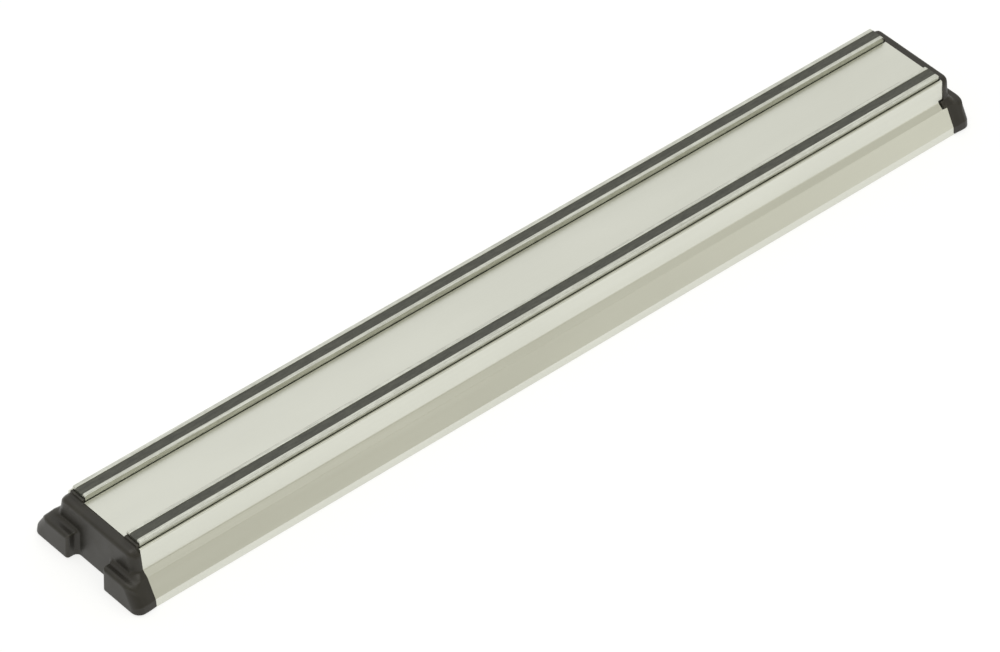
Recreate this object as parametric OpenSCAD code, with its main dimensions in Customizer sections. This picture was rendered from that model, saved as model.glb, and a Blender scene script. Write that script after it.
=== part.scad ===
// Magnetic knife rack: an aluminium rail with an open back carries two magnetic tracks.
// Each track is a row of ferrite blocks between two steel pole strips, under a black infill.
// A moulded cap with two feet plugs each end. Its keyhole hangs on a wall screw either way up.
//
// Frame: the rack lies on its back. X runs along the rail, Y across it and Z out of the wall.
// The origin is the middle of the back plane.

/* [Rail] */
// Length of the aluminium rail
rail_l = 450; // [250:10:600]
// Depth of the rail, from the back plane to the flat face
rail_h = 24; // [22.5:0.1:30]
// Width of the rail across its back edges
rail_base_w = 65; // [60:1:90]
// Width of the flat face between the two tracks
face_w = 25.2; // [16:0.2:28]
// Height of the knee where the upper side wall ends
knee_h = 14.8; // [14.4:0.1:17]
// Lean of the upper side wall away from upright, in degrees
side_lean = 10; // [8:1:14]
// Radius of the hollow below the knee
knee_r = 1.6; // [1:0.1:2]
// Sweep of the hollow below the knee, in degrees
knee_sweep = 38; // [30:1:40]
// How far the bevel below the knee reaches outwards
bevel_out = 2.9; // [2.5:0.1:3.5]
// How far the bevel reaches down from the knee
bevel_drop = 2.8; // [2.4:0.1:3]
// Height of the steeper lip along each back edge
lip_h = 3.7; // [2:0.1:5]
// Lean of that lip away from upright, in degrees
lip_lean = 10; // [6:1:20]
// Thickness of the outer skin
skin_t = 1.6; // [1.2:0.1:2]
// Thickness of the webs and floors of the two channels
web_t = 1.5; // [1:0.1:2]
// Thickness of the side wall at the mouth of a channel
mouth_t = 1.1; // [0.8:0.1:2]
// Width of the flange turned in along each back edge
flange_w = 4.5; // [3:0.5:7]

/* [Tracks] */
// Thickness of a steel pole strip
strip_t = 1.8; // [1.2:0.1:2.5]
// How far the pole strips stand above the flat face
strip_proud = 2.8; // [1:0.1:4]
// Radius on the top corners at the ends of a pole strip
strip_end_r = 0.9; // [0.4:0.1:1.2]
// Thickness of a magnet between its two strips
magnet_t = 4.4; // [3:0.1:6]
// Height of a magnet
magnet_h = 10; // [6:0.5:10]
// Magnets in each track
magnets_per_track = 9; // [4:1:12]
// Gap between neighbouring magnets
magnet_gap = 0.4; // [0.2:0.1:1]
// How far the infill lies below the tops of the strips
infill_recess = 0.3; // [0.1:0.1:1]
// Depth of a channel below the flat face
channel_d = 10.2; // [9:0.1:11]
// Gap between a strip and the wall of its channel
track_gap = 0.3; // [0.2:0.1:0.8]
// Distance from the end of the rail back to the ends of the strips
strip_setback = 0.9; // [0.4:0.1:1.5]

/* [End caps] */
// Thickness of the plate that covers the end of the rail
plate_t = 4.9; // [4.5:0.1:8]
// How far the plate stands outside the rail all round its sides
plate_proud = 0.3; // [0.2:0.1:1]
// How far the top of the plate lies below the flat face
plate_drop = 0.2; // [0:0.1:1]
// Radius on the outer edges of the plate at its sides
plate_side_r = 4.2; // [2.5:0.1:4.4]
// Radius on the outer edge of the plate at its top
plate_top_r = 2.2; // [1:0.1:2.5]
// Radius on the plate's two upper corners
plate_corner_r = 3.6; // [1:0.1:4]
// How far the feet reach beyond the plate
foot_reach = 5.3; // [3.5:0.1:10]
// How far the feet stand outside the rail at their sides
foot_proud = 0.6; // [0.2:0.1:1]
// Height of the feet above the back plane
foot_h = 12.4; // [9:0.1:12.6]
// Clear width between the two feet
foot_gap = 22; // [18:0.2:30]
// Radius on the upright outer corners of the feet
foot_corner_r = 4; // [2:0.1:6]
// Radius on the shoulders of the feet
foot_shoulder_r = 2.2; // [2:0.1:3.5]
// Radius on the other edges of the feet
foot_edge_r = 1.8; // [0.6:0.1:2]
// Radius of the fillets between a foot and the plate
foot_fillet_r = 2.4; // [1.5:0.1:3]
// How far the two track stops stand outside the end of the rail
stop_reach = 0.5; // [0.1:0.1:1]
// How far the track stops lie below the tops of the strips
stop_recess = 1.4; // [0.2:0.1:2]
// Length of the plugs inside the rail
plug_l = 12; // [10:1:13]
// Wall thickness of the plugs
plug_t = 2; // [1.5:0.1:3]
// Clearance between the plugs and the rail
plug_gap = 0.15; // [0.05:0.05:0.3]
// Length of the snap tab on one side of each cap
tab_l = 1.8; // [1:0.1:6]
// Clearance round the snap tab in its notch
tab_gap = 0.15; // [0.05:0.05:0.3]

/* [Wall fixing] */
// Diameter of the keyhole's entry hole
keyhole_d = 9.5; // [8:0.5:12]
// Width of the keyhole's slot
keyhole_slot_w = 4.6; // [4:0.1:6]
// Material left between the ends of the slot and the sides of the tongue
keyhole_side = 1.5; // [1.2:0.1:3]
// Thickness of the keyhole's tongue
tongue_t = 2.8; // [2:0.1:4]
// How far the tongue and the plate lie in front of the back plane
back_gap = 0.4; // [0.2:0.1:1]
// Distance from the end of the rail to the keyhole's entry hole
keyhole_inset = 18; // [17:0.5:25]

/* [Hidden] */
$fn = 48;
SIDES = ["front", "rear"];
STRIPS = ["inner", "outer"];
eps = 0.01;
over = 1;

// Channels of the rail
face_half = face_w / 2;
track_w = 2 * strip_t + magnet_t;
channel_w = track_w + 2 * track_gap;
channel_out = face_half + channel_w;
floor_z = rail_h - channel_d;
under_floor_z = floor_z - web_t;
under_face_z = rail_h - web_t;
cavity_half = face_half - web_t;

// Outline of one side of the rail, from the top corner down to the back edge, as [y, z]
base_half = rail_base_w / 2;
top_half = channel_out + mouth_t;
knee = [top_half + (rail_h - knee_h) * tan(side_lean), knee_h];
knee_centre = knee + knee_r * [cos(side_lean), sin(side_lean)];
knee_steps = 10;
hollow = [
    for (i = [0:knee_steps])
        let (a = 180 + side_lean + knee_sweep * i / knee_steps)
            knee_centre + knee_r * [cos(a), sin(a)]
];
lip = [base_half - lip_h * tan(lip_lean), lip_h];
bevel = knee + [bevel_out, -bevel_drop];
outline = concat([[top_half, rail_h]], hollow, [bevel, lip, [base_half, 0]]);
inner_outline = offset_side(outline, -skin_t);
flange_y = base_half - flange_w;

// Tracks
strip_h = channel_d + strip_proud;
strip_l = rail_l - 2 * strip_setback;
strip_top_z = rail_h + strip_proud;
track_in = face_half + track_gap;
track_mid = track_in + track_w / 2;
magnet_pitch = strip_l / magnets_per_track;
infill_z = floor_z + magnet_h;
infill_h = strip_top_z - infill_recess - infill_z;

// End caps
foot_y = foot_gap / 2;
cap_l = plate_t + foot_reach;
cap_outline = offset_side(outline, plate_proud);
foot_outline = offset_side(outline, foot_proud);
plug_half = cavity_half - plug_gap;
plug_top_z = under_face_z - plug_gap;
side_plug_in = face_half + web_t;
side_plug_out = side_y(inner_outline, under_floor_z) - knee_r / 2;
side_plug_z = under_floor_z - plug_gap;
tongue_l = keyhole_inset + keyhole_d / 2 + plug_t;
keyhole_travel = plug_half - keyhole_side - keyhole_slot_w / 2;
stop_z = strip_top_z - stop_recess;
tab_low_z = bevel[1];

// Unit normal of the step from a to b, pointing out of the rail
function step_normal(a, b) = [a[1] - b[1], b[0] - a[0]] / norm(b - a);

// A side outline moved outwards by d. Its first and last points keep their heights.
function offset_side(path, d) = let (last = len(path) - 1) [
    for (i = [0:last])
        let (
            n1 = i > 0 ? step_normal(path[i - 1], path[i]) : undef,
            n2 = i < last ? step_normal(path[i], path[i + 1]) : undef
        )
            i == 0 ? path[i] + [d / n2[0], 0]
            : i == last ? path[i] + [d / n1[0], 0]
            : path[i] + d * (n1 + n2) / (1 + n1 * n2)
];

// Distance of a side outline from the middle plane at height z
function side_y(path, z) = lookup(z, [for (p = path) [p[1], p[0]]]);

// A path and its mirror image joined to one closed outline
function mirrored(path) = concat(
    path,
    [for (i = [len(path) - 1:-1:0]) [-path[i][0], path[i][1]]]
);

// Extrudes a [y, z] shape along X, from x0 to x1
module along_x(x0, x1) {
    translate([x0, 0, 0])
        rotate([90, 0, 90])
            linear_extrude(height = x1 - x0)
                children();
}

// Repeats a shape on the front side and the rear side
module both_sides() {
    children();
    mirror([0, 1, 0]) children();
}

// The open space behind the face and under the two channels, as a [y, z] outline
function cavity_outline() = mirrored(concat(
    [[cavity_half, under_face_z], [cavity_half, under_floor_z]],
    [[side_y(inner_outline, under_floor_z), under_floor_z]],
    [for (p = inner_outline) if (p[1] < under_floor_z && p[1] > skin_t) p],
    [[side_y(inner_outline, skin_t), skin_t], [flange_y, skin_t], [flange_y, -over]]
));

module rail() {
    color("#d3d3c9")
        difference() {
            along_x(-rail_l / 2, rail_l / 2) polygon(mirrored(outline));
            along_x(-rail_l / 2 - over, rail_l / 2 + over) polygon(cavity_outline());
            both_sides()
                translate([-rail_l / 2 - over, face_half, floor_z])
                    cube([rail_l + 2 * over, channel_w, channel_d + over]);
            for (turn = [0, 180])
                rotate([0, 0, turn]) tab_notch();
        }
}

// The window round the snap tab in the front side of the right end of the rail
module tab_notch() {
    translate([rail_l / 2 - tab_l - tab_gap, -base_half, tab_low_z - tab_gap])
        cube([tab_l + tab_gap + over, base_half - knee[0] + tab_gap, knee_h - tab_low_z + 2 * tab_gap]);
}

// The snap tab: a stretch of the cap's own skin that fills the notch
module snap_tab() {
    intersection() {
        along_x(-tab_l, eps)
            difference() {
                polygon(mirrored(offset_side(outline, plate_proud / 2)));
                polygon(mirrored(inner_outline));
            }
        translate([-tab_l, -base_half, tab_low_z])
            cube([tab_l + over, base_half - knee[0], knee_h - tab_low_z]);
    }
}

// A pole strip centred on the middle plane, with rounded top corners at its ends
module pole_strip() {
    body_top = strip_h - strip_end_r;
    color("#b6b8ae")
        union() {
            translate([-strip_l / 2, -strip_t / 2, 0])
                cube([strip_l, strip_t, body_top]);
            translate([-strip_l / 2 + strip_end_r, -strip_t / 2, 0])
                cube([strip_l - 2 * strip_end_r, strip_t, strip_h]);
            for (sx = [-1, 1])
                translate([sx * (strip_l / 2 - strip_end_r), 0, body_top])
                    rotate([90, 0, 0])
                        cylinder(r = strip_end_r, h = strip_t, center = true);
        }
}

module magnet() {
    color("#3b3b38")
        translate([-(magnet_pitch - magnet_gap) / 2, -magnet_t / 2, 0])
            cube([magnet_pitch - magnet_gap, magnet_t, magnet_h]);
}

module infill() {
    color("#585a50")
        translate([-strip_l / 2, -magnet_t / 2, 0])
            cube([strip_l, magnet_t, infill_h]);
}

// How far the rounding of radius r on the plate's outer edge has turned inwards at distance x
function edge_inset(r, x) = let (d = max(0, x - plate_t + r)) r - sqrt(r * r - d * d);

// The corner between a level top at height z and the side line through point p with the given
// lean, rounded to radius r, as [y, z] points from the top down
function rounded_corner(p, lean, z, r, steps) = let (
    centre = [p[0] - (z - r - p[1]) * tan(lean) - r / cos(lean), z - r]
) [for (i = [0:steps]) let (a = 90 - (90 - lean) * i / steps) centre + r * [cos(a), sin(a)]];

// The plate above the feet, convex, with its outer edges rounded
module plate_top() {
    edge_steps = 6;
    corner_steps = 6;
    wall_foot = [side_y(cap_outline, knee_h), knee_h];
    hull()
        for (i = [0:edge_steps]) {
            x = plate_t - plate_side_r * (1 - sin(90 * i / edge_steps));
            inset = edge_inset(plate_side_r, x) / cos(side_lean);
            top_z = rail_h - plate_drop - edge_inset(plate_top_r, x);
            side = wall_foot - [inset, 0];
            along_x(0, x)
                polygon(mirrored(concat(
                    rounded_corner(side, side_lean, top_z, plate_corner_r, corner_steps),
                    [side, [side[0], foot_h - foot_shoulder_r]]
                )));
        }
}

// The lower part of the plate, between and behind the feet
module plate_base() {
    lower = concat(
        [[side_y(cap_outline, foot_h), foot_h]],
        [for (p = cap_outline) if (p[1] < foot_h && p[1] > back_gap) p],
        [[side_y(cap_outline, back_gap), back_gap]]
    );
    along_x(0, plate_t) polygon(mirrored(lower));
}

// A block from 0 to a and 0 to b, of height h, with its edge at a, b rounded
module round_edged(a, b, r, h) {
    linear_extrude(height = h) {
        square([a - r, b]);
        square([a, b - r]);
        translate([a - r, b - r]) circle(r = r);
    }
}

// One foot on the front side, a little outside the side of the plate. Its outer corner is rounded
// along the slant of the flare, and its top and inner edges more tightly.
module foot() {
    flare_top = foot_outline[knee_steps + 2];
    toe = foot_outline[knee_steps + 3];
    slant = atan((toe[0] - flare_top[0]) / (flare_top[1] - toe[1]));
    section = concat(
        [[foot_y, back_gap], [foot_y, foot_h]],
        rounded_corner(toe, slant, foot_h, foot_shoulder_r, knee_steps),
        [toe, [side_y(foot_outline, back_gap), back_gap]]
    );
    intersection() {
        mirror([0, 1, 0]) along_x(0, cap_l) polygon(section);
        translate([0, -toe[0], toe[1]])
            rotate([-slant, 0, 0])
                translate([-over, rail_base_w, -rail_h])
                    mirror([0, 1, 0])
                        round_edged(cap_l + over, rail_base_w, foot_corner_r, 2 * rail_h);
        translate([-over, 0, -over])
            rotate([90, 0, 0])
                round_edged(cap_l + over, foot_h + over, foot_edge_r, rail_base_w);
        translate([-over, -rail_base_w, -over])
            round_edged(cap_l + over, rail_base_w - foot_y, foot_edge_r, foot_h + 2 * over);
    }
}

// A concave fillet between the plate and the inner side of the front foot
module foot_fillet() {
    difference() {
        translate([plate_t - eps, -foot_y - eps, back_gap])
            cube([foot_fillet_r + eps, foot_fillet_r + eps, foot_h - foot_edge_r - back_gap]);
        translate([plate_t + foot_fillet_r, -foot_y + foot_fillet_r, back_gap - over])
            cylinder(r = foot_fillet_r, h = foot_h + 2 * over);
    }
}

// The stop that closes the end of the front channel
module track_stop() {
    translate([-strip_setback, -track_in - track_w, floor_z + plug_gap])
        cube([strip_setback + stop_reach, track_w, stop_z - floor_z - plug_gap]);
}

// The hollow plug behind the face, and its tongue with the keyhole
module centre_plug() {
    difference() {
        translate([-plug_l, -plug_half, back_gap])
            cube([plug_l + eps, 2 * plug_half, plug_top_z - back_gap]);
        translate([-plug_l - over, -plug_half + plug_t, -over])
            cube([plug_l + over, 2 * (plug_half - plug_t), plug_top_z - plug_t + over]);
    }
    difference() {
        translate([-tongue_l, -plug_half, back_gap])
            cube([tongue_l + eps, 2 * plug_half, tongue_t]);
        keyhole();
    }
}

// The entry hole in the middle, with a slot to either side of it
module keyhole() {
    translate([-keyhole_inset, 0, back_gap - over]) {
        cylinder(d = keyhole_d, h = tongue_t + 2 * over);
        both_sides()
            translate([0, -keyhole_travel, 0])
                cylinder(d = keyhole_slot_w, h = tongue_t + 2 * over);
        translate([-keyhole_slot_w / 2, -keyhole_travel, 0])
            cube([keyhole_slot_w, 2 * keyhole_travel, tongue_t + 2 * over]);
    }
}

// The flat plug under the front channel
module side_plug() {
    translate([-plug_l, -side_plug_out, side_plug_z - plug_t])
        cube([plug_l + eps, side_plug_out - side_plug_in, plug_t]);
}

// The cap of the right end, with the end of the rail at x = 0
module end_cap() {
    color("#48483f")
        union() {
            plate_top();
            plate_base();
            both_sides() {
                foot();
                foot_fillet();
                track_stop();
                side_plug();
            }
            centre_plug();
            snap_tab();
        }
}

rail();
translate([rail_l / 2, 0, 0]) end_cap();  // right_end_cap
rotate([0, 0, 180]) translate([rail_l / 2, 0, 0]) end_cap();  // left_end_cap
for (s = SIDES) {
    side = s == "front" ? -1 : 1;
    translate([0, side * track_mid, infill_z]) infill();
    for (k = STRIPS)
        translate([0, side * (track_mid + (k == "inner" ? -1 : 1) * (magnet_t + strip_t) / 2), floor_z])
                pole_strip();
    for (i = [1:magnets_per_track])
        translate([(i - (magnets_per_track + 1) / 2) * magnet_pitch, side * track_mid, floor_z])
                magnet();
}
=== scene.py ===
"""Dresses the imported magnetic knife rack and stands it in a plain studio.

The rack lies on its back. X runs along the rail, Y across it and Z out of the wall. The profiles
and the moulded caps are worked out in millimetres, in the frame's own axes, and are turned to
metres when they become meshes.
"""

import logging
import math
from collections.abc import Callable
from dataclasses import dataclass, field
from enum import Enum

import bpy
import numpy as np
from mathutils import Matrix, Vector


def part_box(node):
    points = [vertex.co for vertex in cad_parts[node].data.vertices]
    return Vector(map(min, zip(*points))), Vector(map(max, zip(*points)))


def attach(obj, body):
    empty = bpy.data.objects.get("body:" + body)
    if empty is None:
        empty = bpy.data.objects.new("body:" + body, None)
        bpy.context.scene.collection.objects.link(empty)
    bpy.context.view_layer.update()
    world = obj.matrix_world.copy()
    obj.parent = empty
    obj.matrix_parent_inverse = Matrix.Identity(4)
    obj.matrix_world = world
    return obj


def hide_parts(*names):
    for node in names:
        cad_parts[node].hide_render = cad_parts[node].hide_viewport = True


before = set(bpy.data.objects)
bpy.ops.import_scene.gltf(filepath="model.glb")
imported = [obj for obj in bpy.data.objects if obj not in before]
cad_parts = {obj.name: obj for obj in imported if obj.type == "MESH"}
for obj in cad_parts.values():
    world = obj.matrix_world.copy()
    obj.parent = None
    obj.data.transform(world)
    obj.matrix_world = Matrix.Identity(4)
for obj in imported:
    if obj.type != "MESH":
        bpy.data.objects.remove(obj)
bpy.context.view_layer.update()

log = logging.getLogger("knife_rack")
MM = 0.001
# Short names for types.
Array = np.ndarray
Socket = bpy.types.NodeSocket
Tree = bpy.types.NodeTree
Span = tuple[float, float]
Triple = tuple[float, float, float]
Shade = tuple[float, float, float, float]
Body = Callable[..., Array]
Pair = tuple[Array, Array]
BODY = "root"
# Point attribute that carries the caps' painted edge highlight.
EDGE = "edge"
# Nearly all values of a noise lie in this span.
NOISE_SPAN = (0.3, 0.7)


class Side(Enum):
    """The two long sides of the rack, with the sign of their Y."""

    FRONT = -1
    REAR = 1


class Layer(Enum):
    """The two pole strips of a track, with the way they lie from its middle, away from the face."""

    INNER = -1
    OUTER = 1


class End(Enum):
    """The two ends of the rail, with the sign of their X."""

    LEFT = -1
    RIGHT = 1


def node_size(name: str) -> Pair:
    """The lowest and highest corner of a CAD node, in millimetres."""
    low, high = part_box(name)
    return np.array(low) / MM, np.array(high) / MM


# --------------------------------------
# Meshes
# --------------------------------------


def rounded_loop(points: Array, radii: Array, steps: int) -> Array:
    """Rounds the corners of a closed outline.

    At a corner P with unit directions u and v to its neighbours and an angle t between them, the
    arc of radius r has its centre at P + (u + v) / |u + v| * r / sin(t / 2). It runs from
    P + u * r / tan(t / 2) to P + v * r / tan(t / 2), and its points turn evenly between the two.

    Args:
        points: Corners as an (n, 2) array.
        radii: Radius at each corner, as an (n,) array.
        steps: Number of steps in each arc.

    Returns:
        The rounded outline as an (n * (steps + 1), 2) array.
    """
    u = np.roll(points, 1, 0) - points
    v = np.roll(points, -1, 0) - points
    u /= np.linalg.norm(u, axis=1, keepdims=True)
    v /= np.linalg.norm(v, axis=1, keepdims=True)
    opening = np.arccos(np.clip((u * v).sum(1), -1, 1))
    reach = (radii / np.tan(opening / 2))[:, None]
    middle = (u + v) / np.maximum(np.linalg.norm(u + v, axis=1, keepdims=True), 1e-9)
    centre = points + middle * (radii / np.sin(opening / 2))[:, None]
    first = points + u * reach - centre
    last = points + v * reach - centre
    turn = (math.pi - opening)[:, None, None]
    share = np.linspace(0, 1, steps + 1)[None, :, None]
    arc = np.sin((1 - share) * turn) * first[:, None] + np.sin(share * turn) * last[:, None]
    return (centre[:, None] + arc / np.sin(turn)).reshape(-1, 2)


def carried(sections: Array) -> tuple[Array, list]:
    """Joins closed sections that follow each other along X to one closed surface.

    Point (i, j) of the surface is point j of section i. Each cell of the grid is a face, the last
    point of a section joins its first, and the first and last sections are faces themselves.

    Args:
        sections: An (m, n, 3) array. Seen from +X, each section runs anticlockwise.

    Returns:
        The (m * n, 3) vertices and the list of faces.
    """
    count, size = sections.shape[:2]
    index = np.arange(count * size).reshape(count, size)
    after = np.roll(index, -1, 1)
    cells = np.stack([index[:-1], index[1:], after[1:], after[:-1]], 2).reshape(-1, 4)
    faces = cells[:, ::-1].tolist()
    faces.append(index[0][::-1].tolist())
    faces.append(index[-1].tolist())
    return sections.reshape(-1, 3), faces


def stations(section: Array, along: Array) -> Array:
    """Repeats one (n, 2) section of Y and Z at each X in along, as an (m, n, 3) array."""
    shape = (len(along), len(section))
    flat = np.broadcast_to(section, (*shape, 2))
    return np.concatenate([np.broadcast_to(along[:, None, None], (*shape, 1)), flat], 2)


def make_piece(
    name: str, vertices: Array, faces: list, finish: bpy.types.Material, nodes: list[str]
) -> bpy.types.Object:
    """Makes a smooth-shaded piece that stands for CAD nodes.

    Args:
        name: Name of the piece.
        vertices: An (n, 3) array in millimetres.
        faces: Vertex indices of each face.
        finish: Material of the piece.
        nodes: The CAD nodes that it stands for.

    Returns:
        The new object, which rides on the rack's one body.
    """
    mesh = bpy.data.meshes.new(name)
    mesh.from_pydata((vertices * MM).tolist(), [], faces)
    mesh.validate()
    mesh.shade_smooth()
    mesh.materials.append(finish)
    piece = bpy.data.objects.new(name, mesh)
    bpy.context.scene.collection.objects.link(piece)
    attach(piece, BODY)
    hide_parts(*nodes)
    log.info("%s: %d vertices, %d faces", name, len(mesh.vertices), len(mesh.polygons))
    return piece


def keep_edges_crisp(piece: bpy.types.Object, angle: float = 32.0) -> None:
    """Shades broad faces flat and small roundings smoothly.

    Args:
        piece: The object.
        angle: Edges that turn by more than this many degrees stay sharp.
    """
    piece.data.set_sharp_from_angle(angle=math.radians(angle))
    weighted = piece.modifiers.new("broad_faces_first", "WEIGHTED_NORMAL")
    weighted.keep_sharp = True
    weighted.weight = 100


# --------------------------------------
# Finishes
# --------------------------------------


def linear(shade: str) -> Shade:
    """Turns an sRGB hex value to a linear colour.

    Args:
        shade: Six hex digits.

    Returns:
        Red, green, blue and alpha, each from 0 to 1.
    """
    part = np.array([int(shade[i : i + 2], 16) for i in (0, 2, 4)]) / 255
    value = np.where(part <= 0.04045, part / 12.92, ((part + 0.055) / 1.055) ** 2.4)
    return (*map(float, value), 1.0)


def add_node(tree: Tree, kind: str, inputs: dict | None = None, **settings) -> bpy.types.Node:
    """Adds a node with its settings, values and links.

    Args:
        tree: Node tree that gets the node.
        kind: Type of the node, such as ShaderNodeTexNoise.
        inputs: A value or an output socket for each input, by the input's name or number.
        **settings: Attributes of the node itself.

    Returns:
        The new node.
    """
    node = tree.nodes.new(kind)
    for key, value in settings.items():
        setattr(node, key, value)
    for key, value in (inputs or {}).items():
        if isinstance(value, Socket):
            tree.links.new(value, node.inputs[key])
        else:
            node.inputs[key].default_value = value
    return node


@dataclass(frozen=True)
class Finish:
    """What all finishes share: a name, and a shader that a subclass fills in."""

    name: str

    def build(self) -> bpy.types.Material:
        """Makes the material."""
        material = bpy.data.materials.new(self.name)
        material.use_nodes = True
        tree = material.node_tree
        shader = tree.nodes["Principled BSDF"]
        self.fill(tree, shader)
        return material

    def fill(self, tree: Tree, shader: bpy.types.Node) -> None:
        """Sets the shader's inputs. A subclass says how.

        Args:
            tree: Node tree of the material.
            shader: The material's shader.
        """
        raise NotImplementedError

    @staticmethod
    def wire(tree: Tree, shader: bpy.types.Node, patterns: dict[str, Socket], plain: dict) -> None:
        """Links patterns to some inputs of the shader, and sets others to one value all over.

        Args:
            tree: Node tree of the material.
            shader: The material's shader.
            patterns: What is linked to each input, by the input's name.
            plain: The value of each other input, by the input's name.
        """
        for name, pattern in patterns.items():
            tree.links.new(pattern, shader.inputs[name])
        for name, value in plain.items():
            shader.inputs[name].default_value = value

    @staticmethod
    def pattern(tree: Tree, size_mm: Triple, detail: float, distortion: float = 0.0) -> Socket:
        """A noise in the object's own coordinates.

        Args:
            tree: Node tree of the material.
            size_mm: Size of the noise's features along X, Y and Z, in millimetres.
            detail: Octaves of finer noise.
            distortion: How much the noise is bent.

        Returns:
            The noise's value, about 0.5 on average.
        """
        place = add_node(tree, "ShaderNodeTexCoord")
        scale = tuple(1 / (size * MM) for size in size_mm)
        mapped = add_node(tree, "ShaderNodeMapping", {"Vector": place.outputs["Object"], "Scale": scale})
        noise = add_node(
            tree,
            "ShaderNodeTexNoise",
            {"Vector": mapped.outputs[0], "Scale": 1.0, "Detail": detail, "Distortion": distortion},
        )
        return noise.outputs[0]

    @staticmethod
    def blend(tree: Tree, share: Socket, span: Span, low: str, high: str) -> Socket:
        """A colour that goes from one shade to another as a value crosses a span.

        Args:
            tree: Node tree of the material.
            share: The value.
            span: The value at the first shade and at the last one.
            low: First shade, as sRGB hex.
            high: Last shade, as sRGB hex.

        Returns:
            The colour.
        """
        ramp = add_node(tree, "ShaderNodeValToRGB", {0: share})
        for stop, position, shade in zip(ramp.color_ramp.elements, span, (low, high)):
            stop.position = position
            stop.color = linear(shade)
        return ramp.outputs[0]

    @staticmethod
    def spread(tree: Tree, value: Socket, source: Span, target: Span) -> Socket:
        """A value carried from one range to another and held inside it.

        Args:
            tree: Node tree of the material.
            value: The value.
            source: The range that it comes from.
            target: The range that it goes to.

        Returns:
            The new value.
        """
        inputs = {0: value, 1: source[0], 2: source[1], 3: target[0], 4: target[1]}
        return add_node(tree, "ShaderNodeMapRange", inputs).outputs[0]

    @staticmethod
    def relief(tree: Tree, height: Socket, depth_mm: float, strength: float) -> Socket:
        """A bump from a height between 0 and 1.

        Args:
            tree: Node tree of the material.
            height: The height.
            depth_mm: Depth of the relief, in millimetres.
            strength: Share of the relief that shows.

        Returns:
            The normal.
        """
        inputs = {"Height": height, "Distance": depth_mm * MM, "Strength": strength}
        return add_node(tree, "ShaderNodeBump", inputs).outputs[0]


@dataclass(frozen=True)
class AnodisedAluminium(Finish):
    """Extruded aluminium with a satin natural anodising."""

    light: str = "DADBD1"
    dull: str = "D7D8CE"
    roughness: Span = (0.3, 0.4)
    # Die lines are about 0.1 mm apart. They are drawn 0.7 mm apart, so that they show at all.
    line_size: Triple = (160, 0.7, 0.7)
    line_depth: float = 0.012
    line_strength: float = 0.25
    # The anodising's tone drifts over a few centimetres.
    cloud_size: Triple = (70, 18, 18)
    cloud_span: Span = (0.35, 0.65)

    def fill(self, tree: Tree, shader: bpy.types.Node) -> None:
        """A soft silver sheen with faint lines from the die along the rail and a cloudy tone.

        Args:
            tree: Node tree of the material.
            shader: The material's shader.
        """
        lines = self.pattern(tree, self.line_size, 3)
        clouds = self.pattern(tree, self.cloud_size, 2)
        patterns = {
            "Base Color": self.blend(tree, clouds, self.cloud_span, self.dull, self.light),
            "Roughness": self.spread(tree, lines, NOISE_SPAN, self.roughness),
            "Normal": self.relief(tree, lines, self.line_depth, self.line_strength),
        }
        self.wire(tree, shader, patterns, {"Metallic": 1.0})


@dataclass(frozen=True)
class ColdRolledSteel(Finish):
    """Bright cold-rolled steel strip, rubbed along its length by blades."""

    light: str = "DADCD2"
    dark: str = "BABBB1"
    roughness: Span = (0.24, 0.42)
    # Rolling scratches are some 0.05 mm wide. They are drawn 0.35 mm wide, so that they show.
    scratch_size: Triple = (22, 0.35, 0.35)
    scratch_depth: float = 0.01
    scratch_strength: float = 0.35
    spot_size: Triple = (3.5, 1.6, 1.6)
    spot_bend: float = 0.4
    spot_tone: Span = (-0.1, 0.1)
    tone_span: Span = (0.3, 0.68)

    def fill(self, tree: Tree, shader: bpy.types.Node) -> None:
        """A cooler, streaky grey: long fine scratches, and darker spots where oil has dried.

        Args:
            tree: Node tree of the material.
            shader: The material's shader.
        """
        scratches = self.pattern(tree, self.scratch_size, 4)
        stains = self.pattern(tree, self.spot_size, 3, self.spot_bend)
        spots = self.spread(tree, stains, NOISE_SPAN, self.spot_tone)
        tone = add_node(tree, "ShaderNodeMath", {0: scratches, 1: spots}, operation="ADD").outputs[0]
        patterns = {
            "Base Color": self.blend(tree, tone, self.tone_span, self.dark, self.light),
            "Roughness": self.spread(tree, scratches, NOISE_SPAN, self.roughness),
            "Normal": self.relief(tree, scratches, self.scratch_depth, self.scratch_strength),
        }
        self.wire(tree, shader, patterns, {"Metallic": 1.0})


@dataclass(frozen=True)
class ExtrudedPvc(Finish):
    """The black PVC strip that is pressed in over the magnets."""

    dark: str = "3A3B34"
    dusty: str = "4B4C43"
    roughness: Span = (0.5, 0.68)
    ior: float = 1.53
    dust_size: Triple = (6, 1.2, 1.2)
    dust_span: Span = (0.35, 0.7)
    # The skin of the extrusion has a grain of about 0.1 mm, drawn at 0.5 mm so that it shows.
    grain_size: Triple = (0.9, 0.5, 0.5)
    grain_depth: float = 0.04
    grain_strength: float = 0.5

    def fill(self, tree: Tree, shader: bpy.types.Node) -> None:
        """A dull charcoal with a dusty, slightly uneven surface.

        Args:
            tree: Node tree of the material.
            shader: The material's shader.
        """
        dust = self.pattern(tree, self.dust_size, 5)
        grain = self.pattern(tree, self.grain_size, 2)
        patterns = {
            "Base Color": self.blend(tree, dust, self.dust_span, self.dark, self.dusty),
            "Roughness": self.spread(tree, grain, NOISE_SPAN, self.roughness),
            "Normal": self.relief(tree, grain, self.grain_depth, self.grain_strength),
        }
        self.wire(tree, shader, patterns, {"IOR": self.ior})


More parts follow.
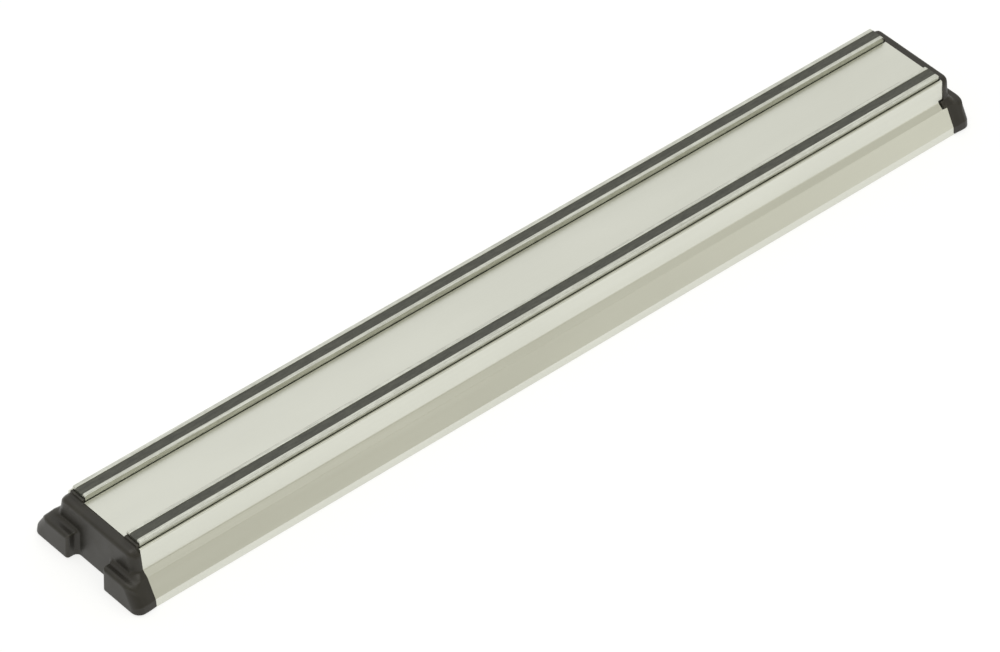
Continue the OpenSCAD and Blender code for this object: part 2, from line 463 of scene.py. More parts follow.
@dataclass(frozen=True)
class MouldedAbs(Finish):
    """Black ABS, injection moulded in a fine spark-eroded tool."""

    body: str = "211F1B"
    bloom: str = "282621"
    # The paler colour laid on the convex edges is a painted highlight.
    painted_highlight: str = "3A3831"
    roughness: Span = (0.36, 0.47)
    ior: float = 1.54
    gloss: float = 0.4
    gloss_tint: Shade = (1, 0.97, 0.91, 1)
    # The tool's grain is about 0.05 mm. It is drawn at 0.45 mm, so that it breaks the gloss.
    grain_size: Triple = (0.45, 0.45, 0.45)
    grain_depth: float = 0.012
    grain_strength: float = 0.5
    bloom_size: Triple = (9, 9, 9)
    bloom_span: Span = (0.35, 0.7)
    # The painted edge highlight is broken into patches, weaker in some and stronger in others.
    patch_size: Triple = (2.5, 2.5, 2.5)
    patch_span: Span = (0.42, 0.62)
    patch_highlight: Span = (0.1, 0.75)

    def fill(self, tree: Tree, shader: bpy.types.Node) -> None:
        """A half-gloss black with a soft broken sheen, and a painted highlight in patches along the convex
        edges.

        Args:
            tree: Node tree of the material.
            shader: The material's shader.
        """
        grain = self.pattern(tree, self.grain_size, 2)
        bloom = self.pattern(tree, self.bloom_size, 3)
        # Convex edges get a painted highlight: the paler colour, in broken patches.
        edges = add_node(tree, "ShaderNodeAttribute", attribute_name=EDGE).outputs["Fac"]
        patchy = self.spread(tree, self.pattern(tree, self.patch_size, 3), self.patch_span, self.patch_highlight)
        highlight_share = add_node(tree, "ShaderNodeMath", {0: edges, 1: patchy}, operation="MULTIPLY").outputs[0]
        plain = self.blend(tree, bloom, self.bloom_span, self.body, self.bloom)
        tones = {0: highlight_share, 6: plain, 7: linear(self.painted_highlight)}
        highlighted = add_node(tree, "ShaderNodeMix", tones, data_type="RGBA")
        patterns = {
            "Base Color": highlighted.outputs[2],
            "Roughness": self.spread(tree, bloom, NOISE_SPAN, self.roughness),
            "Normal": self.relief(tree, grain, self.grain_depth, self.grain_strength),
        }
        values = {"IOR": self.ior, "Specular IOR Level": self.gloss, "Specular Tint": self.gloss_tint}
        self.wire(tree, shader, patterns, values)


@dataclass(frozen=True)
class SinteredFerrite(Finish):
    """Ground ceramic magnet."""

    dark: str = "2E2E2D"
    light: str = "4A4A48"
    roughness: Span = (0.45, 0.6)
    ior: float = 2.4
    # The crystals are some 0.02 mm. The speckle is drawn at 0.4 mm, so that it shows.
    speckle_size: Triple = (0.4, 0.4, 0.4)
    speckle_span: Span = (0.4, 0.65)
    speckle_depth: float = 0.02
    speckle_strength: float = 0.4

    def fill(self, tree: Tree, shader: bpy.types.Node) -> None:
        """A charcoal ceramic with a fine crystalline speckle.

        Args:
            tree: Node tree of the material.
            shader: The material's shader.
        """
        speckle = self.pattern(tree, self.speckle_size, 3)
        patterns = {
            "Base Color": self.blend(tree, speckle, self.speckle_span, self.dark, self.light),
            "Roughness": self.spread(tree, speckle, NOISE_SPAN, self.roughness),
            "Normal": self.relief(tree, speckle, self.speckle_depth, self.speckle_strength),
        }
        self.wire(tree, shader, patterns, {"IOR": self.ior})


@dataclass(frozen=True)
class LitOpal(Finish):
    """Opal acrylic sheet, lit from below, as a table for shadowless pictures."""

    white: str = "8C8C8B"
    cloud: str = "888887"
    light: str = "FFFFFE"
    glow: float = 0.77
    roughness: float = 0.9
    gloss: float = 0.1
    cloud_size: Triple = (400, 400, 400)

    def fill(self, tree: Tree, shader: bpy.types.Node) -> None:
        """A plain white that hides most of a shadow, with a hardly visible cloudiness.

        Args:
            tree: Node tree of the material.
            shader: The material's shader.
        """
        clouds = self.pattern(tree, self.cloud_size, 2)
        values = {
            "Roughness": self.roughness,
            "Specular IOR Level": self.gloss,
            "Emission Color": linear(self.light),
            "Emission Strength": self.glow,
        }
        tone = self.blend(tree, clouds, NOISE_SPAN, self.cloud, self.white)
        self.wire(tree, shader, {"Base Color": tone}, values)


# --------------------------------------
# Outline of the rail, which the caps share
# --------------------------------------


@dataclass
class Profile:
    """Cross-section of the rail, for Y above 0, in millimetres. Z is up from the back plane."""

    height: float
    base_half: float
    face_half: float = 12.6
    channel_w: float = 8.6
    channel_d: float = 10.2
    mouth: float = 1.1
    skin: float = 1.6
    web: float = 1.5
    knee_z: float = 14.8
    lean: float = math.radians(10)
    hollow_r: float = 1.6
    hollow_sweep: float = math.radians(38)
    bevel_out: float = 2.9
    bevel_drop: float = 2.8
    lip_z: float = 3.7
    lip_lean: float = math.radians(10)
    flange: float = 4.5
    hollow_steps: int = 14
    extend: float = 12.0

    @property
    def floor_z(self) -> float:
        """Height of the channels' floors."""
        return self.height - self.channel_d

    def outline(self) -> Array:
        """The outer side from the top corner down to the back edge.

        A straight wall leans out from the top corner to the knee. There the hollow begins: an arc
        of radius hollow_r that is tangent to the wall, with its centre outside the rail, and
        sweeps round by hollow_sweep. A bevel leads on outwards, then a flare to the steeper lip.

        Returns:
            Points as [Y, Z], with the hollow's points from index 1 to hollow_steps + 1.
        """
        top = self.face_half + self.channel_w + self.mouth
        knee = np.array([top + (self.height - self.knee_z) * math.tan(self.lean), self.knee_z])
        centre = knee + self.hollow_r * np.array([math.cos(self.lean), math.sin(self.lean)])
        turn = math.pi + self.lean + self.hollow_sweep * np.linspace(0, 1, self.hollow_steps + 1)
        hollow = centre + self.hollow_r * np.stack([np.cos(turn), np.sin(turn)], 1)
        lip = [self.base_half - self.lip_z * math.tan(self.lip_lean), self.lip_z]
        bevel = knee + [self.bevel_out, -self.bevel_drop]
        return np.vstack([[top, self.height], hollow, bevel, lip, [self.base_half, 0]])

    def distance(self, y: Array, z: Array) -> Array:
        """Signed distance to the outer side, extended up and down past its ends.

        It is the least distance to any of the outline's straight steps. It counts as negative
        where Y is less than the outline's Y at that height.

        Args:
            y: Distance from the middle plane.
            z: Height.

        Returns:
            The distance, positive outside.
        """
        path = self.outline()
        top_way = (path[0] - path[1]) / np.linalg.norm(path[0] - path[1])
        low_way = (path[-1] - path[-2]) / np.linalg.norm(path[-1] - path[-2])
        path = np.vstack([path[0] + self.extend * top_way, path[1:-1], path[-1] + self.extend * low_way])
        least = np.full(np.broadcast_shapes(np.shape(y), np.shape(z)), np.inf)
        for start, stop in zip(path[:-1], path[1:]):
            step = stop - start
            share = np.clip(((y - start[0]) * step[0] + (z - start[1]) * step[1]) / (step @ step), 0, 1)
            near_y, near_z = start[0] + share * step[0], start[1] + share * step[1]
            least = np.minimum(least, np.hypot(y - near_y, z - near_z))
        inside = y < np.interp(z, path[::-1, 1], path[::-1, 0])
        return np.where(inside, -least, least)


# --------------------------------------
# Rail
# --------------------------------------


@dataclass
class Rail:
    """The extruded rail: one profile, with a small pocket for the cap's snap tab at two corners."""

    profile: Profile
    half_length: float
    finish: bpy.types.Material
    corner_r: float = 0.45
    mouth_r: float = 0.25
    inside_r: float = 0.4
    bevel_r: float = 0.5
    lip_r: float = 0.6
    edge_r: float = 0.3
    under_flare_r: float = 0.8
    under_channel_r: float = 1.0
    under_web_r: float = 0.6
    side_overlap: float = 0.6
    pocket_l: float = 2.8
    pocket_gap: float = 0.25
    pocket_step: float = 0.02
    arc_steps: int = 5
    spans: int = 40

    def half_section(self) -> Pair:
        """The front half of the section, from the middle of the face round to the middle under it.

        Returns:
            Its corners as [Y, Z] with Y above 0, and the radius at each of them.
        """
        p = self.profile
        outline = p.outline()
        channel_out = p.face_half + p.channel_w
        under_floor = p.floor_z - p.web
        under_face = p.height - p.web
        flare_way = outline[-2] - outline[-3]
        normal = np.array([-flare_way[1], flare_way[0]]) / np.linalg.norm(flare_way)
        flare_in = outline[-3] - p.skin * normal
        lip_in = outline[-2] - p.skin * normal
        slope = (lip_in[0] - flare_in[0]) / (lip_in[1] - flare_in[1])
        start_y = channel_out + p.mouth - self.side_overlap
        face = [
            (p.face_half, p.height, self.mouth_r),
            (p.face_half, p.floor_z, self.inside_r),
            (channel_out, p.floor_z, self.inside_r),
            (channel_out, p.height, self.mouth_r),
            (outline[0][0], outline[0][1], self.corner_r),
        ]
        hollow = [(y, z, 0.0) for y, z in outline[1:-3]]
        flare = [(*outline[-3], self.bevel_r), (*outline[-2], self.lip_r), (*outline[-1], self.edge_r)]
        inner = [
            (p.base_half - p.flange, 0.0, self.edge_r),
            (p.base_half - p.flange, p.skin, self.edge_r),
            (lip_in[0] + (p.skin - lip_in[1]) * slope, p.skin, self.inside_r),
            (flare_in[0], flare_in[1], self.under_flare_r),
            (start_y, under_floor, self.under_channel_r),
            (p.face_half - p.web, under_floor, self.under_web_r),
            (p.face_half - p.web, under_face, self.inside_r),
        ]
        rows = np.array(face + hollow + flare + inner)
        return rows[:, :2], rows[:, 2]

    def section(self) -> tuple[Array, slice]:
        """The whole rounded section, anticlockwise seen from +X.

        A corner with a radius becomes an arc, and a corner without one stays a single point.

        Returns:
            Its points as [Y, Z], and where the points of the front hollow and bevel stand among them.
        """
        half, radii = self.half_section()
        points = np.vstack([half * [-1, 1], half[::-1]])
        steps = self.arc_steps
        every_radius = np.concatenate([radii, radii[::-1]])
        loop = rounded_loop(points, every_radius + 1e-6, steps)
        keep = np.repeat(every_radius > 0, steps + 1)
        keep[:: steps + 1] = True
        first = int(np.argmin(radii > 0)) * (steps + 1)
        last = first + self.profile.hollow_steps + 1 + steps + 1
        return loop[keep], slice(first, last)

    def pocketed(self, loop: Array, hollow: slice) -> Array:
        """The section where a pocket squares off the front hollow and bevel.

        The first half of their points go evenly down the upright wall of the pocket and the
        second half go evenly out along its floor.

        Args:
            loop: The whole section.
            hollow: Where the points of the front hollow and bevel stand in it.

        Returns:
            The section with the pocket.
        """
        pocket = loop.copy()
        run = loop[hollow]
        share = np.linspace(0, 2, len(run))
        wall_y = run[0, 0] + self.pocket_gap
        floor_z = run[-1, 1]
        top_z = run[0, 1] + self.pocket_gap
        down = np.stack([np.full_like(share, wall_y), top_z + (floor_z - top_z) * share], 1)
        out = np.stack([wall_y + (run[-1, 0] - wall_y) * (share - 1), np.full_like(share, floor_z)], 1)
        pocket[hollow] = np.where(share[:, None] < 1, down, out)
        return pocket

    def build(self) -> None:
        """Carries the section along the rail, with a pocket at the right end and, turned, at the left."""
        loop, hollow = self.section()
        right = self.pocketed(loop, hollow)
        left = right[::-1] * [-1, 1]
        inner = self.half_length - self.pocket_l
        spans = np.linspace(-inner + self.pocket_step, inner - self.pocket_step, self.spans)
        rows = [
            stations(left, np.array([-self.half_length, -inner])),
            stations(loop, spans),
            stations(right, np.array([inner, self.half_length])),
        ]
        vertices, faces = carried(np.concatenate(rows))
        piece = make_piece("rail_extrusion", vertices, faces, self.finish, ["rail"])
        keep_edges_crisp(piece)


# --------------------------------------
# Tracks
# --------------------------------------


@dataclass
class Track:
    """One magnetic track: two pole strips, the infill between them and the magnets below it."""

    side: Side
    steel: bpy.types.Material
    infill: bpy.types.Material
    ferrite: bpy.types.Material
    edge_r: float = 0.22
    end_r: float = 0.9
    corner_steps: int = 4
    turn_steps: int = 9
    # The turn ends just short of upright, so that the strip's end keeps some width.
    turn_share: float = 0.999
    strip_spans: int = 60
    sag: float = 0.22
    ripple: float = 0.05
    ripple_lengths: Triple = (7.3, 2.9, 1.7)
    infill_spans: tuple[int, int] = (240, 15)

    def pole_strip(self, layer: Layer) -> None:
        """Builds a bar with rounded long edges whose top turns down at both ends.

        Its section is a rectangle with arcs of edge_r at the corners. Within end_r of an end, at a
        distance d from where the turn begins, its top is end_r - sqrt(end_r^2 - d^2) lower.

        Args:
            layer: Which of the track's two strips.
        """
        node = f"{self.side.name.lower()}_{layer.name.lower()}_pole_strip"
        low, high = node_size(node)
        corners = np.array([[low[1], low[2]], [high[1], low[2]], [high[1], high[2]], [low[1], high[2]]])
        section = rounded_loop(corners, np.full(4, self.edge_r), self.corner_steps)
        turn = self.end_r * np.sin(np.linspace(0, 1, self.turn_steps) * math.pi / 2) * self.turn_share
        flat = np.linspace(low[0] + self.end_r, high[0] - self.end_r, self.strip_spans)
        along = np.concatenate([flat[0] - turn[:0:-1], flat, flat[-1] + turn[1:]])
        past = np.maximum(np.maximum(flat[0] - along, along - flat[-1]), 0)
        drop = self.end_r - np.sqrt(self.end_r**2 - past**2)
        rows = stations(section, along).copy()
        upper = np.clip((rows[..., 2] - low[2]) / (high[2] - low[2]), 0, 1)
        rows[..., 2] -= drop[:, None] * upper**3
        vertices, faces = carried(rows)
        piece = make_piece(node.replace("pole", "steel"), vertices, faces, self.steel, [node])
        keep_edges_crisp(piece)

    def fill_gap(self) -> None:
        """Builds the infill, which hangs a little between the strips.

        Its top is lower than at its edges by sag * (1 - t^2), with t from -1 to 1 across it, and
        by a ripple that is the product of two sine waves along it.
        """
        node = f"{self.side.name.lower()}_infill"
        low, high = node_size(node)
        along = np.linspace(low[0], high[0], self.infill_spans[0])
        across = np.linspace(low[1], high[1], self.infill_spans[1])
        middle, half = (low[1] + high[1]) / 2, (high[1] - low[1]) / 2
        slow, quick, skew = self.ripple_lengths
        wave = np.sin(along[:, None] / slow) * np.sin(along[:, None] / quick + across / skew)
        top = high[2] - self.sag * (1 - ((across - middle) / half) ** 2) - self.ripple * (1 + wave) / 2
        x = np.broadcast_to(along[:, None], top.shape)
        y = np.broadcast_to(across, top.shape)
        upper = np.stack([x, y, top], 2)[:, ::-1]
        lower = np.stack([x, y, np.full_like(top, low[2])], 2)[:, [0, -1]]
        vertices, faces = carried(np.concatenate([upper, lower], 1))
        name = node.replace("infill", "infill_strip")
        piece = make_piece(name, vertices, faces, self.infill, [node])
        keep_edges_crisp(piece)

    def build(self) -> None:
        """Builds the strips and the infill, and dresses the magnets."""
        for layer in Layer:
            self.pole_strip(layer)
        self.fill_gap()
        magnets = [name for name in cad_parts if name.startswith(f"{self.side.name.lower()}_magnet_")]
        for name in magnets:
            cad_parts[name].data.materials.clear()
            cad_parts[name].data.materials.append(self.ferrite)
        log.info("%s magnets dressed: %d", self.side.name.lower(), len(magnets))


# --------------------------------------
# End caps
# --------------------------------------


def meet(a: Array, b: Array, r: float | Array) -> Array:
    """What two bodies share, with an edge of radius r.

    It is min(-r, max(a, b)) + |(max(r + a, 0), max(r + b, 0))|.

    Args:
        a: Signed distance to one body.
        b: Signed distance to the other.
        r: Radius of the edge, in millimetres.

    Returns:
        The signed distance to what they share.
    """
    return np.minimum(-r, np.maximum(a, b)) + np.hypot(np.maximum(r + a, 0), np.maximum(r + b, 0))


def join(a: Array, b: Array, r: float | Array) -> Array:
    """Two bodies together, with a fillet of radius r, as the rounded meet of what lies outside them."""
    return -meet(-a, -b, r)


def ease(share: Array) -> Array:
    """A smooth step from 0 to 1: 3 s^2 - 2 s^3 with s held between 0 and 1."""
    held = np.clip(share, 0, 1)
    return held * held * (3 - 2 * held)


def block(x: Array, y: Array, z: Array, low: Triple, high: Triple, r: float) -> Array:
    """Signed distance to a block with edges of radius r.

    With q the distance from the block's middle past its half size less r, it is the length of
    the positive part of q, plus the largest of q where that is negative, less r.

    Args:
        x: X of the points.
        y: Y of the points.
        z: Z of the points.
        low: Lowest corner.
        high: Highest corner.
        r: Radius.

    Returns:
        The distance, negative inside.
    """
    q = [abs(v - (a + b) / 2) - (b - a) / 2 + r for v, a, b in zip((x, y, z), low, high)]
    outside = np.sqrt(sum(np.maximum(v, 0) ** 2 for v in q))
    return outside + np.minimum(np.maximum(np.maximum(q[0], q[1]), q[2]), 0) - r


def skin_of(body: Body, low: Array, high: Array, cell: float, slides: int = 4) -> Pair:
    """The surface of a body that is given by its signed distance.

    Space is cut into cubic cells. A cell that the surface crosses gets one vertex, at the mean of
    the crossings on its twelve edges, and each grid edge that the surface crosses gets a face
    between the four cells round it. The vertices then slide down the distance's slope on to the
    surface itself.

    Args:
        body: Function of X, Y and Z that gives the signed distance.
        low: Lowest corner of the space.
        high: Highest corner of the space.
        cell: Size of a cell.
        slides: How often the vertices slide towards the surface.

    Returns:
        The vertices and the four-sided faces, which point outwards.
    """
    axes = [np.arange(a, b + cell, cell) for a, b in zip(low, high)]
    field_value = body(axes[0][:, None, None], axes[1][None, :, None], axes[2][None, None, :])
    inside = field_value < 0
    corners = [(i, j, k) for i in (0, 1) for j in (0, 1) for k in (0, 1)]
    size = np.array(inside.shape) - 1
    windows = [tuple(slice(shift, end + shift) for shift, end in zip(corner, size)) for corner in corners]
    total = sum(inside[window].astype(np.int8) for window in windows)
    crossed = (total > 0) & (total < len(corners))
    number = np.full(crossed.shape, -1)
    number[crossed] = np.arange(crossed.sum())
    cells = np.argwhere(crossed)
    place = np.zeros((len(cells), 3))
    hits = np.zeros(len(cells))
    edges = [(a, b) for a in corners for b in corners if a < b and sum(abs(np.subtract(a, b))) == 1]
    for a, b in edges:
        first, last = cells + a, cells + b
        f, g = field_value[tuple(first.T)], field_value[tuple(last.T)]
        hit = (f < 0) != (g < 0)
        share = np.where(hit, f / np.where(hit, f - g, 1), 0)[:, None]
        place += np.where(hit[:, None], first + (last - first) * share, 0)
        hits += hit
    vertices = place / hits[:, None] * cell + [axis[0] for axis in axes]
    faces = []
    for way in range(3):
        across = [axis for axis in range(3) if axis != way]
        near = [slice(1, -1)] * 3
        far = [slice(1, -1)] * 3
        near[way], far[way] = slice(0, -1), slice(1, None)
        start_inside = inside[tuple(near)]
        change = np.argwhere(start_inside != inside[tuple(far)])
        leaving = start_inside[tuple(change.T)]
        base = change + [0 if axis == way else 1 for axis in range(3)]
        ring = []
        for step in ((1, 1), (0, 1), (0, 0), (1, 0)):
            cell_of = base.copy()
            cell_of[:, across[0]] -= step[0]
            cell_of[:, across[1]] -= step[1]
            ring.append(number[tuple(cell_of.T)])
        quads = np.stack(ring, 1)
        forward = leaving if way != 1 else ~leaving
        faces.append(np.where(forward[:, None], quads, quads[:, ::-1]))
    for _ in range(slides):
        slope, value = slope_of(body, vertices)
        step = slope * (value / np.maximum((slope**2).sum(1), 0.2))[:, None]
        vertices -= np.clip(step, -cell / 2, cell / 2)
    return vertices, np.vstack(faces)


def slope_of(body: Body, points: Array, reach: float = 0.02) -> Pair:
    """The slope and the value of a signed distance, from differences over a short reach.

    Args:
        body: Function of X, Y and Z.
        points: An (n, 3) array.
        reach: Length of the differences.

    Returns:
        The (n, 3) slopes and the (n,) values.
    """
    x, y, z = points.T
    value = body(x, y, z)
    slope = np.stack([body(x + reach, y, z), body(x, y + reach, z), body(x, y, z + reach)], 1)
    return (slope - value[:, None]) / reach, value


@dataclass
class EndCap:
    """The moulded cap. It is worked out for the right end, with the end of the rail at X = 0."""

    profile: Profile
    rail_half: float
    finish: bpy.types.Material
    length: float
    plate: float = 4.9
    proud: float = 0.3
    drop: float = 0.2
    clear: float = 0.4
    side_r: float = 4.2
    top_r: float = 2.2
    corner_r: float = 3.6
    foot_top: float = 12.4
    foot_in: float = 11.0
    shoulder_r: float = 2.2
    toe_r: float = 4.0
    foot_proud: float = 0.3
    end_r: float = 1.9
    inner_r: float = 1.4
    fillet: float = 2.2
    track_w: float = 8.0
    track_gap: float = 0.3
    stop_out: float = 0.5
    stop_in: float = 0.9
    stop_top: float = 25.4
    stop_r: float = 0.7
    stop_fillet: float = 0.8
    plug_l: float = 12.0
    plug_t: float = 2.0
    gap: float = 0.15
    tongue_t: float = 2.8
    keyhole_x: float = -18.0
    keyhole_r: float = 4.75
    slot_r: float = 2.3
    slot_reach: float = 6.95
    tongue_r: float = 0.4
    flat_out: float = 21.8
    hole_edge_r: float = 0.3
    stop_edge_r: float = 0.4
    plug_r: float = 0.3
    plug_room_r: float = 0.6
    plug_mouth_r: float = 0.2
    plug_open: float = 5.0
    # How far the plugs and the tab reach into the plate.
    plug_into: float = 1.0
    tab_into: float = 0.5
    # The snap tab is a layer along the rail's outline, given by its middle and half its thickness.
    tab_l: float = 1.8
    tab_short: float = 0.5
    tab_clear: float = 0.02
    tab_depth: float = 0.55
    tab_half: float = 0.85
    tab_r: float = 0.2
    tab_edge_r: float = 0.15
    # Lesser edges of the plate and the feet, and the distances over which their radii change.
    foot_in_r: float = 0.6
    back_r: float = 0.3
    inner_change: float = 3.0
    change: float = 4.0
    above_from: float = 0.5
    above_change: float = 2.5
    # The bend of the surface is felt over the first of these distances. A painted highlight is laid on
    # edges that bend more than the second, and it grows to full over the third.
    bend_reach: float = 0.7
    highlight_from: float = 0.25
    highlight_span: float = 1.2
    cell: float = 0.38
    spare: Triple = (1.0, 1.4, 0.8)

    def moulding(self, x: Array, y: Array, z: Array) -> Array:
        """Signed distance to the plate with its feet.

        The plate's end plane and the feet's blocks are joined with a fillet. What they share with
        the rail's outline, a little larger, is rounded along the outline by a radius that goes
        smoothly from the toes to the shoulders and the plate's sides, and then along its top.

        Args:
            x: Distance out from the end of the rail.
            y: Distance from the middle plane.
            z: Height.

        Returns:
            The distance, negative inside.
        """
        side = self.profile.distance(y, z) - self.proud - self.foot_proud * ease(x / self.plate)
        top = z - (self.profile.height - self.drop)
        plate = x - self.plate
        end = x - self.length
        shoulder = z - self.foot_top
        inner = self.foot_in - y
        within = ease((inner - shoulder) / self.inner_change + 0.5)
        end_r = self.end_r + (self.inner_r - self.end_r) * within
        foot = meet(meet(shoulder, inner, self.foot_in_r), end, end_r)
        low = join(plate, foot, self.fillet)
        on_shoulder = ease((shoulder - end) / self.change + 0.5)
        foot_r = self.toe_r + (self.shoulder_r - self.toe_r) * on_shoulder
        above = ease((shoulder - self.above_from) / self.above_change)
        solid = meet(low, side, foot_r + (self.side_r - foot_r) * above)
        on_corner = ease((side - plate) / self.change + 0.5)
        solid = meet(solid, top, self.top_r + (self.corner_r - self.top_r) * on_corner)
        return meet(meet(solid, self.clear - z, self.back_r), -x, self.back_r)

    def plug_body(self, x: Array, y: Array, z: Array) -> Array:
        """Signed distance to what goes inside the rail.

        It is a hollow plug, the tongue with its keyhole, and a flat plug under each channel.

        Args:
            x: Distance out from the end of the rail.
            y: Distance from the middle plane.
            z: Height.

        Returns:
            The distance, negative inside.
        """
        p = self.profile
        half = p.face_half - p.web - self.gap
        under_face = p.height - p.web - self.gap
        under_floor = p.floor_z - p.web - self.gap
        high = (self.plug_into, half, under_face)
        shell = block(x, y, z, (-self.plug_l, -half, self.clear), high, self.plug_r)
        inside = half - self.plug_t
        room_low = (-self.plug_l - self.plug_open, -inside, -self.plug_open)
        room = block(x, y, z, room_low, (0, inside, under_face - self.plug_t), self.plug_room_r)
        back = self.keyhole_x - self.keyhole_r - self.plug_t
        tongue_high = (self.plug_into, half, self.clear + self.tongue_t)
        tongue = block(x, y, z, (back, -half, self.clear), tongue_high, self.tongue_r)
        hole = np.hypot(x - self.keyhole_x, y) - self.keyhole_r
        slot = np.hypot(x - self.keyhole_x, np.maximum(y - self.slot_reach, 0)) - self.slot_r
        flat_low = (-self.plug_l, p.face_half + p.web, under_floor - self.plug_t)
        flat = block(x, y, z, flat_low, (self.plug_into, self.flat_out, under_floor), self.tongue_r)
        tongue = meet(tongue, -np.minimum(hole, slot), self.hole_edge_r)
        return np.minimum(np.minimum(meet(shell, -room, self.plug_mouth_r), tongue), flat)

    def body(self, x: Array, y: Array, z: Array) -> Array:
        """Signed distance to the whole cap: the plate with its feet, the stops, the plugs and the snap tab.

        Args:
            x: Distance out from the end of the rail.
            y: Distance across, where the snap tab is on the negative side.
            z: Height.

        Returns:
            The distance, negative inside.
        """
        p = self.profile
        across = np.abs(y)
        solid = self.moulding(x, across, z)
        track_in = p.face_half + self.track_gap
        stop_low = (-self.stop_in, track_in, p.floor_z + self.gap)
        stop_high = (self.stop_out, track_in + self.track_w, self.stop_top)
        stop = block(x, across, z, stop_low, stop_high, self.stop_edge_r)
        stop = meet(stop, z - self.stop_top, self.stop_r)
        skin = np.abs(p.distance(across, z) + self.tab_depth) - self.tab_half
        span_low = (-self.tab_l, -p.base_half, p.knee_z - p.bevel_drop)
        span_high = (self.tab_into, -p.outline()[1][0] - self.tab_clear, p.knee_z - self.tab_short)
        tab = meet(skin, block(x, y, z, span_low, span_high, self.tab_r), self.tab_edge_r)
        solid = join(solid, stop, self.stop_fillet)
        return np.minimum(solid, np.minimum(self.plug_body(x, across, z), tab))

    def build(self) -> None:
        """Works the cap out once, and puts a copy on each end, the left one turned by 180 degrees."""
        half = self.profile.base_half
        low = np.array([self.keyhole_x - self.keyhole_r - self.plug_t, -half, 0]) - self.spare
        high = np.array([self.length, half, self.stop_top]) + self.spare
        vertices, faces = skin_of(self.body, low, high, self.cell)
        slope, value = slope_of(self.body, vertices)
        normals = slope / np.maximum(np.linalg.norm(slope, axis=1, keepdims=True), 1e-6)
        reach = self.bend_reach
        ways = np.vstack([np.eye(3), -np.eye(3)])
        around = sum(self.body(*(vertices + reach * way).T) for way in ways)
        bend = (around - len(ways) * value) / reach**2
        # How convex each vertex is sets the painted edge highlight on the caps.
        highlighted = np.clip((bend - self.highlight_from) / self.highlight_span, 0, 1)
        for end in End:
            turned = np.array([end.value, end.value, 1])
            place = (vertices + [self.rail_half, 0, 0]) * turned
            node = f"{end.name.lower()}_end_cap"
            name = node.replace("end_cap", "moulded_cap")
            piece = make_piece(name, place, faces.tolist(), self.finish, [node])
            edge = piece.data.attributes.new(EDGE, "FLOAT", "POINT")
            edge.data.foreach_set("value", highlighted.astype(np.float32))
            piece.data.normals_split_custom_set_from_vertices((normals * turned).tolist())


# --------------------------------------
# Studio
# --------------------------------------


@dataclass(frozen=True)
class Softbox:
    """A square light: its name, where it hangs, the length of its sides and its power in watts."""

    name: str
    place: Triple
    size: float
    power: float


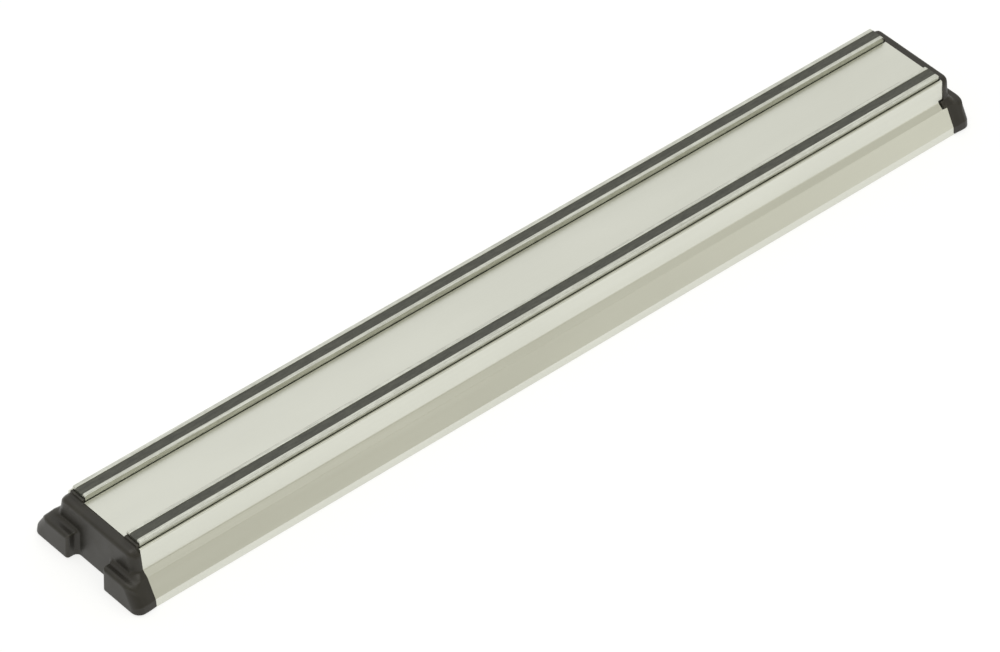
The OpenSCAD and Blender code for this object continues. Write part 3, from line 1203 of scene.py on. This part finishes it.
@dataclass
class Studio:
    """Table, lights and camera, in metres."""

    opal: bpy.types.Material
    softboxes: tuple[Softbox, ...] = (
        Softbox("overhead", (-0.1, -0.2, 1.9), 1.6, 10),
        Softbox("front_right", (0.95, -0.85, 0.25), 0.5, 0.25),
    )
    floor_half: float = 6.0
    floor_z: float = -0.0002
    horizon: str = "CBC9BC"
    zenith: str = "FCFCFB"
    horizon_span: Span = (0.36, 0.98)
    brighter_way: Triple = (0, 0.5, 1)
    azimuth: float = math.radians(-43.96)
    elevation: float = math.radians(42.164)
    roll: float = math.radians(2.66)
    target: Vector = field(default_factory=lambda: Vector((-0.011234, 0.001323, 0.0019)))
    distance: float = 2.4304
    lens: float = 209.66
    sensor: float = 36
    sees_to: float = 30

    def floor(self) -> None:
        """Lays the table: a grid whose points are all at one height."""
        line = np.linspace(-self.floor_half, self.floor_half, 3)
        x, y = np.meshgrid(line, line, indexing="ij")
        points = np.stack([x, y, np.full_like(x, self.floor_z)], 2).reshape(-1, 3)
        index = np.arange(x.size).reshape(x.shape)
        corners = [index[:-1, :-1], index[1:, :-1], index[1:, 1:], index[:-1, 1:]]
        cells = np.stack(corners, 2).reshape(-1, 4)
        mesh = bpy.data.meshes.new("lit_table")
        mesh.from_pydata(points.tolist(), [], cells.tolist())
        mesh.materials.append(self.opal)
        sheet = bpy.data.objects.new("lit_table", mesh)
        bpy.context.scene.collection.objects.link(sheet)

    def surroundings(self) -> None:
        """Gives the room a pale tone that is lightest high up at the back, and dullest low in front."""
        world = bpy.data.worlds.new("pale_room")
        world.use_nodes = True
        tree = world.node_tree
        way = add_node(tree, "ShaderNodeTexCoord").outputs["Generated"]
        ways = {0: way, 1: self.brighter_way}
        towards = add_node(tree, "ShaderNodeVectorMath", ways, operation="DOT_PRODUCT").outputs["Value"]
        tone = Finish.blend(tree, towards, self.horizon_span, self.horizon, self.zenith)
        tree.links.new(tone, tree.nodes["Background"].inputs["Color"])
        bpy.context.scene.world = world

    def hang(self, softbox: Softbox) -> None:
        """Hangs a softbox so that it faces the rack.

        Args:
            softbox: What to hang.
        """
        lamp = bpy.data.lights.new(softbox.name, "AREA")
        lamp.energy = softbox.power
        lamp.size = softbox.size
        holder = bpy.data.objects.new(softbox.name, lamp)
        holder.location = softbox.place
        holder.rotation_euler = (-Vector(softbox.place)).to_track_quat("-Z", "Y").to_euler()
        bpy.context.scene.collection.objects.link(holder)

    def camera(self) -> None:
        """Stands the camera off the front left, looking down along the rail."""
        cos_e, sin_e = math.cos(self.elevation), math.sin(self.elevation)
        back = Vector((math.sin(self.azimuth) * cos_e, -math.cos(self.azimuth) * cos_e, sin_e))
        right = (-back).cross(Vector((0, 0, 1))).normalized()
        up = right.cross(-back)
        cos_r, sin_r = math.cos(self.roll), math.sin(self.roll)
        axes = Matrix((cos_r * right + sin_r * up, cos_r * up - sin_r * right, back)).transposed()
        viewer = bpy.data.objects.new("viewer", bpy.data.cameras.new("viewer"))
        viewer.data.lens = self.lens
        viewer.data.sensor_width = self.sensor
        viewer.data.sensor_fit = "HORIZONTAL"
        viewer.data.clip_end = self.sees_to
        viewer.matrix_world = Matrix.Translation(self.target + back * self.distance) @ axes.to_4x4()
        bpy.context.scene.collection.objects.link(viewer)
        bpy.context.scene.camera = viewer

    def build(self) -> None:
        """Sets up the table, the room, the lights and the camera."""
        self.floor()
        self.surroundings()
        for softbox in self.softboxes:
            self.hang(softbox)
        self.camera()
        bpy.context.scene.view_settings.view_transform = "Standard"


def main() -> None:
    """Builds the rack's parts in order, then the studio."""
    logging.basicConfig(level=logging.INFO, format="%(name)s: %(message)s")
    rail_low, rail_high = node_size("rail")
    profile = Profile(height=rail_high[2], base_half=rail_high[1])
    steel = ColdRolledSteel("cold_rolled_steel").build()
    infill = ExtrudedPvc("black_extruded_pvc").build()
    ferrite = SinteredFerrite("ground_ferrite").build()
    Rail(profile, rail_high[0], AnodisedAluminium("anodised_aluminium").build()).build()
    for side in Side:
        Track(side, steel, infill, ferrite).build()
    cap_reach = node_size("right_end_cap")[1][0] - rail_high[0]
    EndCap(profile, rail_high[0], MouldedAbs("moulded_black_abs").build(), cap_reach).build()
    Studio(LitOpal("lit_opal_acrylic").build()).build()


if __name__ == "__main__":
    main()
